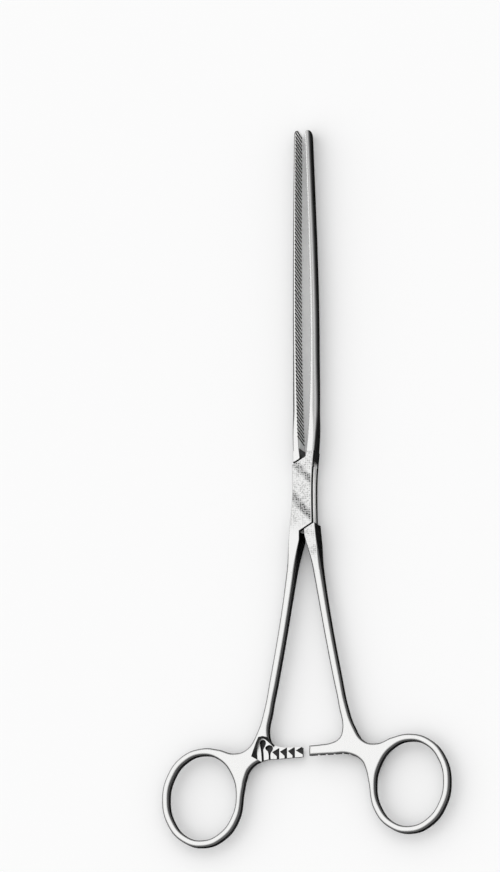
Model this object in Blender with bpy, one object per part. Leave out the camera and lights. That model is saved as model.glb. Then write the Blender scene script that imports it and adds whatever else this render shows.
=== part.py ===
"""Box-lock intestinal clamp, 23 cm, lying flat with its jaws a little apart.

Three forged and pinned pieces. box_half carries the two cheek plates of the box lock, the jaw on
+X and the handle on -X. tongue_half is flat where it passes between those plates, and carries the
jaw on -X and the handle on +X. lock_pin holds them together, flush with both plates.

Metres, +Z up. The lock pin stands on the Z axis, the jaws point along +Y, and the plates' underside
is the plane Z = 0. Both halves are drawn round the plane Z = 0 first and lifted by half the box.
"""

import math

import bmesh
import bpy
from mathutils import Matrix, Vector

RIGHT = 1
LEFT = -1

# Jaws: thin, domed at the back, serrated on the face. The one on +X bows out further
TIP_Y = 0.1186
JAW_WIDTH = 0.0066
JAW_ROOT_Y = 0.0120
FACE_OFFSET_ROOT = {RIGHT: 0.00120, LEFT: 0.00080}
FACE_OFFSET_TIP = {RIGHT: 0.00150, LEFT: 0.00140}
FACE_BOW = {RIGHT: 0.00180, LEFT: 0.00078}
BOW_PEAK = 0.36
BACK_AT_TIP = 0.00115
BACK_TAPER = 0.00065
BACK_AT_ROOT = {RIGHT: 0.00055, LEFT: 0.00035}
ROOT_FLARE_START = 0.0480
ROOT_FLARE_END = 0.0200
JAW_DOME = 2.3
ROOT_SQUARENESS = 7.0
ROOT_BLEND = 0.0080
TIP_ROUND = 0.0032
TIP_SHAPE = 2.6
TIP_LAST_ANGLE = math.radians(84.0)
TIP_BACK_SHARE = 0.45

# Serrations: oblique grooves that mesh when the jaws meet
GROOVE_PITCH = 0.00125
GROOVE_WIDTH = 0.00072
GROOVE_DEPTH = 0.00032
GROOVE_ANGLE = math.radians(16.0)
GROOVES_START_Y = 0.0170
GROOVE_OVERCUT = 0.00012
GROOVE_LENGTH = 0.0102
SLOPE_STEP = 0.0005

# Box lock
BOX_THICKNESS = 0.0066
BOX_HALF_WIDTH = 0.00325
BOX_WAIST = 0.00305
BOX_EDGE_Y = 0.01135
BOX_EDGE_ANGLE = math.radians(29.0)
BOX_EDGE_ROUND = 0.00030
BOX_FOOT_Y = 0.01335
BOX_BELLY = 0.00040
BOX_CROTCH_X = 0.00105
JAW_SEAT_Y = 0.01380
SHOULDER_SIDE_X = 0.00300
SHOULDER_INSIDE_X = 0.00065
SHOULDER_END = (0.00110, 0.01550)
SLOT_END_Y = 0.01220
SLOT_END_ANGLE = math.radians(37.0)
TONGUE_INSET = 0.00020
FUSE_STEP = 0.00010
FUSE_INSET = 0.00003
TONGUE_THICKNESS = 0.00270
TONGUE_SIDE_GAP = 0.00008
TONGUE_END_GAP = 0.00040
TONGUE_TRIM = 0.00025
SHOULDER_GAP = 0.00045
PIN_RADIUS = 0.00150
PIN_SEAT_GAP = 0.00005
PIN_RUNNING_GAP = 0.00010
PIN_SIDES = 48

# Shanks: centre line spreads from the lock to the ratchet, with a slight inward bow
SHANK_TOP_Y = -0.0175
SHANK_TOP_X = 0.00330
SHANK_FOOT_Y = -0.0725
SHANK_FOOT_X = 0.01315
SHANK_BOW = 0.00045
SHANK_WIDTH = 0.00250
SHANK_TOP_EXTRA_WIDTH = 0.00080
SHANK_TAPER_LENGTH = 0.0090
SHANK_THINNING_LENGTH = 0.0065
HANDLE_THICKNESS = 0.0038
HANDLE_ROUND = 0.00100
SHANK_CROTCH_X = 0.00062
SHANK_SQUARENESS = 5.0
SHANK_ROOT_START_Y = -0.00835
SHANK_ROOT_END_Y = -0.0240
SHANK_CUT_Y = -0.0195
WEB_START_Y = -0.0685

# Finger rings
RING_CENTRE_X = 0.0344
RING_CENTRE_Y = -0.0955
RING_HOLE_X = 0.0112
RING_HOLE_Y = 0.0137
RING_ROD = 0.0022

# Web between shank, ring and bar: angle round the ring, and distance as a multiple of its radius
WEB_OVER_RING = ((138.0, 1.84), (140.5, 1.45), (133.0, 1.165), (114.0, 1.04))
WEB_UNDER_RING = ((173.7, 1.021), (162.5, 1.125), (156.0, 1.295))

# Ratchet bars: half the handle's thickness each, so one slides over the other
BAR_END_X = 0.0013
BAR_TOP_Y = -0.0811
BAR_HEIGHT = 0.0032
BAR_ROOT_FALL = 0.0004
BAR_ROOT_OUTSIDE = 0.0025
BAR_ROOT_INSIDE = 0.0030
BAR_STRAIGHT = 0.0040
BAR_FILLET = ((-0.0035, 0.0004), (-0.0010, 0.0014), (0.0002, 0.0033))
BAR_PLANE_GAP = 0.00010

# Recess that takes a bar's lower half: an arch at its root with ramps up to a wider rim
RELIEF_LOW_Y = -0.0900
RELIEF_ARCH = (
    (0.0165, -0.0815), (0.0163, -0.0794), (0.0156, -0.0779), (0.0147, -0.07745),
    (0.01375, -0.07785), (0.0125, -0.0790), (0.0095, -0.0820),
)
RELIEF_RIM = (
    (0.0184, -0.0832), (0.0174, -0.0815), (0.0162, -0.0790), (0.0154, -0.0773),
    (0.0140, -0.0771), (0.0122, -0.0776), (0.0112, -0.0796),
)
RELIEF_OPEN_X = 0.0109
RELIEF_OPEN_Y = -0.0799
RELIEF_OPEN_STEP = 0.00004

# Notches in a bar: two long ones with round heads at the root, then saw teeth
HEAD_NOTCH = (
    (0.01419, -0.0849, True), (0.01428, -0.0825, False), (0.01435, -0.0811, False),
    (0.01375, -0.0798, False), (0.01360, -0.0787, False), (0.01425, -0.0779, False),
    (0.01520, -0.0778, False), (0.01585, -0.0785, False), (0.01580, -0.0797, False),
    (0.01535, -0.0814, False), (0.01494, -0.0849, True),
)
SECOND_NOTCH = (
    (0.01190, -0.0849, True), (0.01187, -0.0823, False), (0.01130, -0.0815, False),
    (0.01125, -0.0805, False), (0.01215, -0.0798, False), (0.01300, -0.0799, False),
    (0.01375, -0.0806, False), (0.01285, -0.0820, False), (0.01262, -0.0849, True),
)
NOTCH_DEPTH = 0.00110
TOOTH_WALLS = (0.00910, 0.00652, 0.00389, 0.00128)
TOOTH_APEX = (0.00238, -0.0821)
TOOTH_TOP_Y = -0.0809
TOOTH_STEM = (0.00085, -0.0836)
TOOTH_LOW_Y = -0.0849
TOOTH_DEPTH_AT_WALL = 0.00130
TOOTH_DEPTH_AT_APEX = 0.00035
TOOTH_OVERCUT = 0.00030

JAW_STATIONS = 17
JAW_SPACING = 1.5
JAW_ARC_POINTS = 11
TIP_STATIONS = 5
SHANK_STATIONS = 6
SHANK_ROOT_STATIONS = 8
SHANK_ROOT_SIDES = 24
RING_STEP = 30
CURVE_STEPS = 4
ROUND_STEPS = 2
PLATE_SIDE_STEPS = 3
SHARP_ANGLE = math.radians(35.0)
SATIN_COLOUR = (0.62, 0.62, 0.61)
SATIN_ROUGHNESS = 0.30
PIN_COLOUR = (0.60, 0.60, 0.59)
PIN_ROUGHNESS = 0.32


def clear_scene():
    for item in list(bpy.data.objects):
        bpy.data.objects.remove(item, do_unlink=True)


def new_collection(name):
    collection = bpy.data.collections.new(name)
    bpy.context.scene.collection.children.link(collection)
    return collection


def steel(name, colour, roughness):
    material = bpy.data.materials.new(name)
    material.use_nodes = True
    shader = material.node_tree.nodes["Principled BSDF"]
    shader.inputs["Base Color"].default_value = (*colour, 1.0)
    shader.inputs["Metallic"].default_value = 1.0
    shader.inputs["Roughness"].default_value = roughness
    return material


def lerp(start, end, share):
    return start + (end - start) * share


def smooth_step(start, end, value):
    share = min(max((value - start) / (end - start), 0.0), 1.0)
    return share * share * (3.0 - 2.0 * share)


def add_mesh(name, mesh, collection):
    item = bpy.data.objects.new(name, mesh)
    collection.objects.link(item)
    return item


def add_bmesh(name, shape, collection):
    mesh = bpy.data.meshes.new(name)
    bmesh.ops.recalc_face_normals(shape, faces=shape.faces)
    shape.to_mesh(mesh)
    shape.free()
    return add_mesh(name, mesh, collection)


def outline_solid(name, loops, thickness, rounding, collection):
    """A flat outline with rounded edges. Each loop is a list of (x, y, is_corner)."""
    curve = bpy.data.curves.new(name, "CURVE")
    curve.dimensions = "2D"
    curve.fill_mode = "BOTH"
    curve.resolution_u = CURVE_STEPS
    curve.extrude = thickness / 2.0 - rounding
    curve.bevel_depth = rounding
    curve.bevel_resolution = ROUND_STEPS if rounding > BOX_EDGE_ROUND else 0
    curve.offset = -rounding
    for loop in loops:
        spline = curve.splines.new("BEZIER")
        spline.bezier_points.add(len(loop) - 1)
        spline.use_cyclic_u = True
        for point, (x, y, is_corner) in zip(spline.bezier_points, loop):
            point.co = (x, y, 0.0)
            kind = "VECTOR" if is_corner else "AUTO"
            point.handle_left_type = kind
            point.handle_right_type = kind
    source = bpy.data.objects.new(name + "_outline", curve)
    collection.objects.link(source)
    bpy.context.view_layer.update()
    evaluated = source.evaluated_get(bpy.context.evaluated_depsgraph_get())
    mesh = bpy.data.meshes.new_from_object(evaluated)
    mesh.transform(source.matrix_world)
    bpy.data.objects.remove(source, do_unlink=True)
    shape = bmesh.new()
    shape.from_mesh(mesh)
    bpy.data.meshes.remove(mesh)
    bmesh.ops.remove_doubles(shape, verts=shape.verts, dist=0.00001)
    return add_bmesh(name, shape, collection)


def loft(name, sections, collection):
    """Skin through closed sections that all have the same number of points."""
    shape = bmesh.new()
    rings = [[shape.verts.new(point) for point in section] for section in sections]
    count = len(rings[0])
    for ring, following in zip(rings, rings[1:]):
        for index in range(count):
            after = (index + 1) % count
            shape.faces.new((ring[index], ring[after], following[after], following[index]))
    shape.faces.new(rings[0])
    shape.faces.new(rings[-1])
    return add_bmesh(name, shape, collection)


def combine(target, other, operation):
    modifier = target.modifiers.new(operation.lower() + "_" + other.name, "BOOLEAN")
    modifier.operation = operation
    modifier.object = other
    modifier.solver = "EXACT"
    other.hide_render = True
    other.display_type = "WIRE"


def turn_over(item):
    """Half a turn about the instrument's long axis: left becomes right, up becomes down."""
    item.data.transform(Matrix.Rotation(math.pi, 4, "Y"))


def face_offset(y, side):
    """Distance from the centre plane to a jaw's gripping face."""
    share = min(max((y - JAW_ROOT_Y) / (TIP_Y - JAW_ROOT_Y), 0.0), 1.0)
    skew = math.log(0.5) / math.log(BOW_PEAK)
    bow = FACE_BOW[side] * math.sin(math.pi * share ** skew)
    return lerp(FACE_OFFSET_ROOT[side], FACE_OFFSET_TIP[side], share) + bow


def back_thickness(y, side):
    """Height of a jaw's domed back over its gripping face."""
    share = (TIP_Y - y) / (TIP_Y - JAW_ROOT_Y)
    flare = 1.0 - smooth_step(ROOT_FLARE_END, ROOT_FLARE_START, y)
    return BACK_AT_TIP + BACK_TAPER * share + BACK_AT_ROOT[side] * flare


def jaw_section(y, face, half_width, back, squareness):
    """A flat face towards the centre plane and a domed back."""
    points = []
    for index in range(JAW_ARC_POINTS):
        angle = math.pi * index / (JAW_ARC_POINTS - 1)
        across = math.copysign(abs(math.cos(angle)) ** (2.0 / squareness), math.cos(angle))
        height = max(math.sin(angle), 0.0) ** (2.0 / squareness)
        points.append((face + back * height, y, half_width * across))
    return points


def make_jaw(name, side, collection):
    """One side's jaw, drawn on +X, from inside the box to its full-round tip."""
    start = JAW_ROOT_Y - BOX_HALF_WIDTH
    tip_start = TIP_Y - TIP_ROUND
    half_width = JAW_WIDTH / 2.0
    sections = []
    for index in range(JAW_STATIONS + 1):
        y = lerp(start, tip_start, (index / JAW_STATIONS) ** JAW_SPACING)
        blend = smooth_step(JAW_ROOT_Y, JAW_ROOT_Y + ROOT_BLEND * 2.0, y)
        squareness = lerp(ROOT_SQUARENESS, JAW_DOME, blend)
        inset = FUSE_INSET if y < JAW_ROOT_Y + ROOT_BLEND else 0.0
        back = back_thickness(y, side)
        face = face_offset(y, side)
        sections.append(jaw_section(y, face, half_width - inset, back, squareness))
    for index in range(1, TIP_STATIONS + 1):
        angle = TIP_LAST_ANGLE * index / TIP_STATIONS
        share = math.cos(angle) ** (2.0 / TIP_SHAPE)
        y = tip_start + TIP_ROUND * math.sin(angle) ** (2.0 / TIP_SHAPE)
        back = back_thickness(y, side) * lerp(TIP_BACK_SHARE, 1.0, share)
        face = face_offset(y, side)
        sections.append(jaw_section(y, face, half_width * share, back, JAW_DOME))
    jaw = loft(name, sections, collection)
    if side == LEFT:
        turn_over(jaw)
    return jaw


def make_grooves(name, side, shift, collection):
    """V grooves across one gripping face, all in one cutter."""
    shape = bmesh.new()
    count = int((TIP_Y - GROOVES_START_Y - TIP_ROUND / 2.0) / GROOVE_PITCH)
    half_width = GROOVE_WIDTH / 2.0 * (GROOVE_DEPTH + GROOVE_OVERCUT) / GROOVE_DEPTH
    lean = Matrix.Rotation(-GROOVE_ANGLE, 4, "X")
    profile = ((GROOVE_DEPTH, 0.0), (-GROOVE_OVERCUT, half_width), (-GROOVE_OVERCUT, -half_width))
    for index in range(count):
        y = GROOVES_START_Y + shift + index * GROOVE_PITCH
        rise = face_offset(y + SLOPE_STEP, side) - face_offset(y - SLOPE_STEP, side)
        turn = Matrix.Rotation(-math.atan(rise / (2.0 * SLOPE_STEP)), 4, "Z")
        place = Matrix.Translation((face_offset(y, side), y, 0.0)) @ turn @ lean
        verts = []
        for z in (-GROOVE_LENGTH / 2.0, GROOVE_LENGTH / 2.0):
            for depth, across in profile:
                verts.append(shape.verts.new(place @ Vector((depth, across, z))))
        bmesh.ops.convex_hull(shape, input=verts)
    if side == LEFT:
        bmesh.ops.scale(shape, vec=(-1.0, 1.0, 1.0), verts=shape.verts)
    return add_bmesh(name, shape, collection)


def shank_centre(y):
    share = (y - SHANK_TOP_Y) / (SHANK_FOOT_Y - SHANK_TOP_Y)
    bow = SHANK_BOW * math.sin(math.pi * min(max(share, 0.0), 1.0))
    return lerp(SHANK_TOP_X, SHANK_FOOT_X, share) - bow


def shank_width(y):
    return SHANK_WIDTH + SHANK_TOP_EXTRA_WIDTH * math.exp((y - SHANK_TOP_Y) / SHANK_TAPER_LENGTH)


def handle_thickness(y):
    """Full box thickness at the lock, thinning gently at first down the shank."""
    reach = max(-BOX_FOOT_Y - y, 0.0) / SHANK_THINNING_LENGTH
    extra = math.exp(-reach * reach / (1.0 + reach))
    return HANDLE_THICKNESS + (BOX_THICKNESS - HANDLE_THICKNESS) * extra


def ring_point(degrees, scale):
    """A point on the ring's outer ellipse, or beyond it where scale is over one."""
    angle = math.radians(degrees)
    across = (RING_HOLE_X + RING_ROD) * scale
    along = (RING_HOLE_Y + RING_ROD) * scale
    return RING_CENTRE_X + across * math.cos(angle), RING_CENTRE_Y + along * math.sin(angle)


def handle_outline():
    """Shank, web, finger ring and ratchet bar in one outline, for the handle on +X."""
    pace = (WEB_START_Y - SHANK_CUT_Y) / (SHANK_STATIONS - 1)
    stations = [SHANK_CUT_Y + pace * step for step in range(SHANK_STATIONS)]
    outer = [(shank_centre(y) + shank_width(y) / 2.0, y, False) for y in stations]
    inner = [(shank_centre(y) - shank_width(y) / 2.0, y, False) for y in reversed(stations)]
    bar_bottom = BAR_TOP_Y - BAR_HEIGHT
    foot_x = SHANK_FOOT_X - SHANK_WIDTH / 2.0
    outline = [(outer[0][0], outer[0][1], True)] + outer[1:]
    outline += [(*ring_point(degrees, scale), False) for degrees, scale in WEB_OVER_RING]
    outline += [(*ring_point(degrees, 1.0), False) for degrees in range(90, -180, -RING_STEP)]
    outline += [(*ring_point(degrees, scale), False) for degrees, scale in WEB_UNDER_RING]
    outline += [
        (foot_x + BAR_ROOT_OUTSIDE, bar_bottom - BAR_ROOT_FALL, False),
        (foot_x - BAR_ROOT_INSIDE, bar_bottom - BAR_ROOT_FALL / 4.0, False),
        (BAR_END_X, bar_bottom, True),
        (BAR_END_X, BAR_TOP_Y, True),
        (BAR_END_X + BAR_STRAIGHT, BAR_TOP_Y + BAR_PLANE_GAP, False),
    ]
    outline += [(foot_x + across, BAR_TOP_Y + along, False) for across, along in BAR_FILLET]
    outline += inner[:-1] + [(inner[-1][0], inner[-1][1], True)]
    return outline


def make_handle(name, collection):
    """Outline solid of the handle on +X, thinned along its length."""
    hole = []
    for degrees in range(0, 360, RING_STEP):
        angle = math.radians(degrees)
        x = RING_CENTRE_X + RING_HOLE_X * math.cos(angle)
        hole.append((x, RING_CENTRE_Y + RING_HOLE_Y * math.sin(angle), False))
    item = outline_solid(name, [handle_outline(), hole], HANDLE_THICKNESS, HANDLE_ROUND, collection)
    for vertex in item.data.vertices:
        vertex.co.z *= handle_thickness(vertex.co.y) / HANDLE_THICKNESS
    return item


def squared_round(angle, squareness):
    """A point on a unit circle that is squared off."""
    power = 2.0 / squareness
    across = math.copysign(abs(math.cos(angle)) ** power, math.cos(angle))
    return across, math.copysign(abs(math.sin(angle)) ** power, math.sin(angle))


def make_shank_root(name, crotch_x, collection):
    """Square at the lock and rounder where the shank takes over, on +X."""
    sections = []
    for index in range(SHANK_ROOT_STATIONS):
        share = index / (SHANK_ROOT_STATIONS - 1)
        y = lerp(SHANK_ROOT_START_Y, SHANK_ROOT_END_Y, share)
        inner = max(shank_centre(y) - shank_width(y) / 2.0, crotch_x)
        outer = shank_centre(y) + shank_width(y) / 2.0
        half = (outer - inner) / 2.0 - FUSE_INSET * share
        thick = handle_thickness(y) / 2.0 - FUSE_INSET
        points = []
        for step in range(SHANK_ROOT_SIDES):
            across, height = squared_round(math.tau * step / SHANK_ROOT_SIDES, SHANK_SQUARENESS)
            points.append(((inner + outer) / 2.0 + half * across, y, thick * height))
        sections.append(points)
    return loft(name, sections, collection)


def edge_line(x, offset):
    """Height of the plates' upper oblique edge at x, moved off the plates by offset."""
    return BOX_EDGE_Y + offset / math.cos(BOX_EDGE_ANGLE) + x * math.tan(BOX_EDGE_ANGLE)


def plate_side(y):
    """Half width of the cheek plates on the jaw's side, waisted at the pin."""
    if y > 0.0:
        seat = face_offset(JAW_SEAT_Y, RIGHT) + back_thickness(JAW_SEAT_Y, RIGHT) - FUSE_STEP
        return BOX_WAIST + (seat - BOX_WAIST) * (y / JAW_SEAT_Y) ** 2
    return BOX_WAIST + (BOX_HALF_WIDTH - BOX_WAIST) * min(-y / BOX_EDGE_Y, 1.0) ** 2


def make_plates(name, collection):
    """The box: both cheeks in one block, before its slot is cut."""
    root = FACE_OFFSET_ROOT[RIGHT]
    side = BOX_HALF_WIDTH
    low_edge = -edge_line(-side, 0.0)
    foot = shank_centre(-BOX_FOOT_Y) + shank_width(-BOX_FOOT_Y) / 2.0
    corners = [
        (-side, edge_line(-side, 0.0), True),
        (root, edge_line(root, 0.0), True),
        (face_offset(JAW_SEAT_Y, RIGHT) + FUSE_STEP, JAW_SEAT_Y, True),
        (plate_side(JAW_SEAT_Y), JAW_SEAT_Y, True),
    ]
    for step in range(1, PLATE_SIDE_STEPS):
        y = lerp(JAW_SEAT_Y, low_edge, step / PLATE_SIDE_STEPS)
        corners.append((plate_side(y), y, False))
    corners += [
        (plate_side(low_edge), low_edge, True),
        (-BOX_CROTCH_X, -edge_line(BOX_CROTCH_X, 0.0), True),
        (-BOX_CROTCH_X, -BOX_FOOT_Y, True),
        (-foot, -BOX_FOOT_Y, True),
        (-side - BOX_BELLY, -BOX_EDGE_Y / 2.0, True),
    ]
    return outline_solid(name, [corners], BOX_THICKNESS, BOX_EDGE_ROUND, collection)


def slot_limits():
    """Plan corners of the slot's two closed ends, upper one first."""
    upper = (FACE_OFFSET_ROOT[RIGHT] + FUSE_STEP, SLOT_END_Y)
    far = BOX_HALF_WIDTH * 2.0
    upper_far = (far, upper[1] - (far - upper[0]) * math.tan(SLOT_END_ANGLE))
    return upper, upper_far


def plan_prism(name, corners, thickness, collection):
    """A straight prism round the middle plane from plan corners."""
    shape = bmesh.new()
    bottom = [shape.verts.new((x, y, -thickness / 2.0)) for x, y in corners]
    face = shape.faces.new(bottom)
    grown = bmesh.ops.extrude_face_region(shape, geom=[face])
    lifted = [item for item in grown["geom"] if isinstance(item, bmesh.types.BMVert)]
    bmesh.ops.translate(shape, vec=(0.0, 0.0, thickness), verts=lifted)
    return add_bmesh(name, shape, collection)


def make_slot(name, collection):
    (x, y), (far_x, far_y) = slot_limits()
    corners = [(-far_x, y), (x, y), (far_x, far_y), (far_x, -y), (-x, -y), (-far_x, -far_y)]
    return plan_prism(name, corners, TONGUE_THICKNESS + 2.0 * TONGUE_SIDE_GAP, collection)


def make_tongue(name, collection):
    """Flat middle of the other half, with one end under each of its shoulders."""
    (x, y), (far_x, far_y) = slot_limits()
    gap = TONGUE_END_GAP
    side = BOX_WAIST - TONGUE_INSET
    drop = (y - far_y) / (far_x - x)
    top_y = y - gap
    side_y = top_y - (side - x + gap) * drop
    upper = [
        (-side, top_y),
        (-SHOULDER_INSIDE_X, top_y),
        (-SHOULDER_INSIDE_X, edge_line(-SHOULDER_INSIDE_X, -TONGUE_TRIM)),
        (x - gap, min(edge_line(x - gap, -TONGUE_TRIM), top_y)),
        (side, side_y),
    ]
    lower = [(-corner_x, -corner_y) for corner_x, corner_y in upper]
    return plan_prism(name, upper + lower, TONGUE_THICKNESS, collection)


def make_shoulder(name, collection):
    """Full-thickness root of the jaw on -X, sitting over the plates' upper oblique edge."""
    end_x, end_y = SHOULDER_END
    corners = [
        (-SHOULDER_SIDE_X, edge_line(-SHOULDER_SIDE_X, SHOULDER_GAP), True),
        (-SHOULDER_INSIDE_X, edge_line(-SHOULDER_INSIDE_X, SHOULDER_GAP), True),
        (-end_x, end_y, True),
        (-SHOULDER_SIDE_X, JAW_SEAT_Y, True),
    ]
    return outline_solid(name, [corners], BOX_THICKNESS, BOX_EDGE_ROUND, collection)


def make_shoulder_cut(name, collection):
    """Everything between the two oblique shoulder planes, across the whole box."""
    far = BOX_HALF_WIDTH * 3.0
    corners = [
        (-far, edge_line(-far, SHOULDER_GAP)),
        (far, edge_line(far, SHOULDER_GAP)),
        (far, -edge_line(-far, SHOULDER_GAP)),
        (-far, -edge_line(far, SHOULDER_GAP)),
    ]
    return plan_prism(name, corners, BOX_THICKNESS * 2.0, collection)


def make_bore(name, radius, collection):
    shape = bmesh.new()
    bmesh.ops.create_cone(
        shape, cap_ends=True, segments=PIN_SIDES, radius1=radius, radius2=radius,
        depth=BOX_THICKNESS * 2.0,
    )
    return add_bmesh(name, shape, collection)


def hull_of_levels(name, levels, collection):
    """Convex solid through plan outlines, each given with its height."""
    shape = bmesh.new()
    points = [(x, y, z) for outline, z in levels for x, y in outline]
    bmesh.ops.convex_hull(shape, input=[shape.verts.new(point) for point in points])
    return add_bmesh(name, shape, collection)


def make_relief_arch(name, collection):
    """Recess round the bar's root: an arch on the half plane, a wider rim at the surface."""
    near_x = RELIEF_ARCH[-1][0]
    depth = HANDLE_THICKNESS / 2.0
    floor = [(RELIEF_ARCH[0][0], RELIEF_LOW_Y), *RELIEF_ARCH, (near_x, RELIEF_LOW_Y)]
    rim = [(RELIEF_RIM[0][0] + depth, RELIEF_LOW_Y), *RELIEF_RIM, (near_x, RELIEF_LOW_Y)]
    levels = ((floor, BAR_PLANE_GAP), (rim, -depth), (rim, -HANDLE_THICKNESS))
    return hull_of_levels(name, levels, collection)


def make_relief_open(name, collection):
    """Takes the lower half off the rest of the bar on +X, out past its end."""
    corners = [
        (-BAR_END_X, RELIEF_LOW_Y), (RELIEF_OPEN_X, RELIEF_LOW_Y),
        (RELIEF_OPEN_X, RELIEF_OPEN_Y), (-BAR_END_X, RELIEF_OPEN_Y),
    ]
    levels = ((corners, BAR_PLANE_GAP + RELIEF_OPEN_STEP), (corners, -HANDLE_THICKNESS))
    return hull_of_levels(name, levels, collection)


def make_notch(name, loop, collection):
    """One of the two long notches with a round head."""
    thickness = 2.0 * (BAR_PLANE_GAP + NOTCH_DEPTH)
    return outline_solid(name, [loop], thickness, 0.0, collection)


def make_teeth(name, collection):
    """Saw notches under the bar on +X: a steep wall that faces the handle, a sloping floor."""
    shape = bmesh.new()
    mouth = BAR_PLANE_GAP - TOOTH_OVERCUT
    corners = [
        (0.0, TOOTH_LOW_Y), (0.0, TOOTH_TOP_Y), TOOTH_APEX, TOOTH_STEM,
        (TOOTH_STEM[0], TOOTH_LOW_Y),
    ]
    for wall in TOOTH_WALLS:
        open_side = [shape.verts.new((wall + x, y, mouth)) for x, y in corners]
        floor = []
        for x, y in corners:
            depth = lerp(TOOTH_DEPTH_AT_WALL, TOOTH_DEPTH_AT_APEX, x / TOOTH_APEX[0])
            floor.append(shape.verts.new((wall + x, y, BAR_PLANE_GAP + depth)))
        shape.faces.new(open_side)
        shape.faces.new(floor)
        for index in range(len(corners)):
            after = (index + 1) % len(corners)
            shape.faces.new((open_side[index], open_side[after], floor[after], floor[index]))
    return add_bmesh(name, shape, collection)


def make_bar_cutters(name, collection):
    """Everything that is cut from the bar on +X, in order."""
    return [
        make_relief_arch(name + "_relief_arch", collection),
        make_relief_open(name + "_relief_open", collection),
        make_notch(name + "_head_notch", HEAD_NOTCH, collection),
        make_notch(name + "_second_notch", SECOND_NOTCH, collection),
        make_teeth(name + "_teeth", collection),
    ]


def make_box_half(parts, cutters, finish):
    item = make_plates("box_half", parts)
    jaw = make_jaw("box_jaw", RIGHT, cutters)
    root = make_shank_root("box_shank_root", BOX_CROTCH_X, cutters)
    handle = make_handle("box_handle", cutters)
    bar_cutters = make_bar_cutters("box_bar", cutters)
    for piece in (root, handle, *bar_cutters):
        turn_over(piece)
    for piece in (jaw, root, handle):
        combine(item, piece, "UNION")
    combine(item, make_slot("box_slot", cutters), "DIFFERENCE")
    combine(item, make_bore("box_bore", PIN_RADIUS + PIN_SEAT_GAP, cutters), "DIFFERENCE")
    for cutter in bar_cutters:
        combine(item, cutter, "DIFFERENCE")
    combine(item, make_grooves("box_jaw_grooves", RIGHT, 0.0, cutters), "DIFFERENCE")
    item.data.materials.append(finish)
    return item


def make_tongue_half(parts, cutters, finish):
    item = make_jaw("tongue_half", LEFT, parts)
    root = make_shank_root("tongue_shank_root", SHANK_CROTCH_X, cutters)
    handle = make_handle("tongue_handle", cutters)
    combine(item, make_shoulder("tongue_shoulder", cutters), "UNION")
    combine(item, root, "UNION")
    combine(item, make_shoulder_cut("shoulder_cut", cutters), "DIFFERENCE")
    combine(item, make_tongue("tongue", cutters), "UNION")
    combine(item, handle, "UNION")
    combine(item, make_bore("tongue_bore", PIN_RADIUS + PIN_RUNNING_GAP, cutters), "DIFFERENCE")
    for cutter in make_bar_cutters("tongue_bar", cutters):
        combine(item, cutter, "DIFFERENCE")
    grooves = make_grooves("tongue_jaw_grooves", LEFT, GROOVE_PITCH / 2.0, cutters)
    combine(item, grooves, "DIFFERENCE")
    item.data.materials.append(finish)
    return item


def make_pin(parts, finish):
    shape = bmesh.new()
    bmesh.ops.create_cone(
        shape, cap_ends=True, segments=PIN_SIDES, radius1=PIN_RADIUS, radius2=PIN_RADIUS,
        depth=BOX_THICKNESS,
    )
    item = add_bmesh("lock_pin", shape, parts)
    item.data.materials.append(finish)
    return item


def main():
    clear_scene()
    parts = new_collection("intestinal_clamp")
    cutters = new_collection("cutters")
    satin = steel("satin_steel", SATIN_COLOUR, SATIN_ROUGHNESS)
    pin_finish = steel("pin_steel", PIN_COLOUR, PIN_ROUGHNESS)
    make_box_half(parts, cutters, satin)
    make_tongue_half(parts, cutters, satin)
    make_pin(parts, pin_finish)
    lift = Matrix.Translation((0.0, 0.0, BOX_THICKNESS / 2.0))
    for item in list(parts.objects) + list(cutters.objects):
        item.data.transform(lift)
        item.data.shade_smooth()
        item.data.set_sharp_from_angle(angle=SHARP_ANGLE)
        item.modifiers.new("shading", "WEIGHTED_NORMAL").keep_sharp = True


main()
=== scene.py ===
"""Looks of a box-lock intestinal clamp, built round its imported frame.

Both halves are modelled again as fine meshes on the same sizes as their solids, and ride on the
same bodies. Each half is drawn round the plane Z = 0 and lifted by half the lock's thickness.
"""

import math

import bmesh
import bpy
from mathutils import Matrix, Vector


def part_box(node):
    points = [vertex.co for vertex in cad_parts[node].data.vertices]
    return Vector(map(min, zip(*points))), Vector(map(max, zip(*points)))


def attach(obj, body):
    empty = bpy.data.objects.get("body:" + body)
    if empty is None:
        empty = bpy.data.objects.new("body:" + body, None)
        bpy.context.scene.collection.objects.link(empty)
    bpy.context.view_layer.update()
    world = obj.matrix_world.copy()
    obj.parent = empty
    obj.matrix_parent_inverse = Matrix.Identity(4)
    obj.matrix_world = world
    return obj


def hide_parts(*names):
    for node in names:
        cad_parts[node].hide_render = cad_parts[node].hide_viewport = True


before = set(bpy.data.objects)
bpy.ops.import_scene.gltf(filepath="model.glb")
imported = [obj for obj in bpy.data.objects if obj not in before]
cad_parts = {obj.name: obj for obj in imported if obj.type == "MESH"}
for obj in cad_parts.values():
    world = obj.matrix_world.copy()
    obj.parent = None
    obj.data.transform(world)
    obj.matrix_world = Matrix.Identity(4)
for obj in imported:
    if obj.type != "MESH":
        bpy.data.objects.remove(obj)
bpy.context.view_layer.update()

# Read from the frame
PIN_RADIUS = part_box("lock_pin")[1].x
BOX_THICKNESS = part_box("lock_pin")[1].z
TIP_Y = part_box("box_half")[1].y
MID_PLANE = Matrix.Translation((0.0, 0.0, BOX_THICKNESS / 2.0))

RIGHT = 1
LEFT = -1

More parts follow.
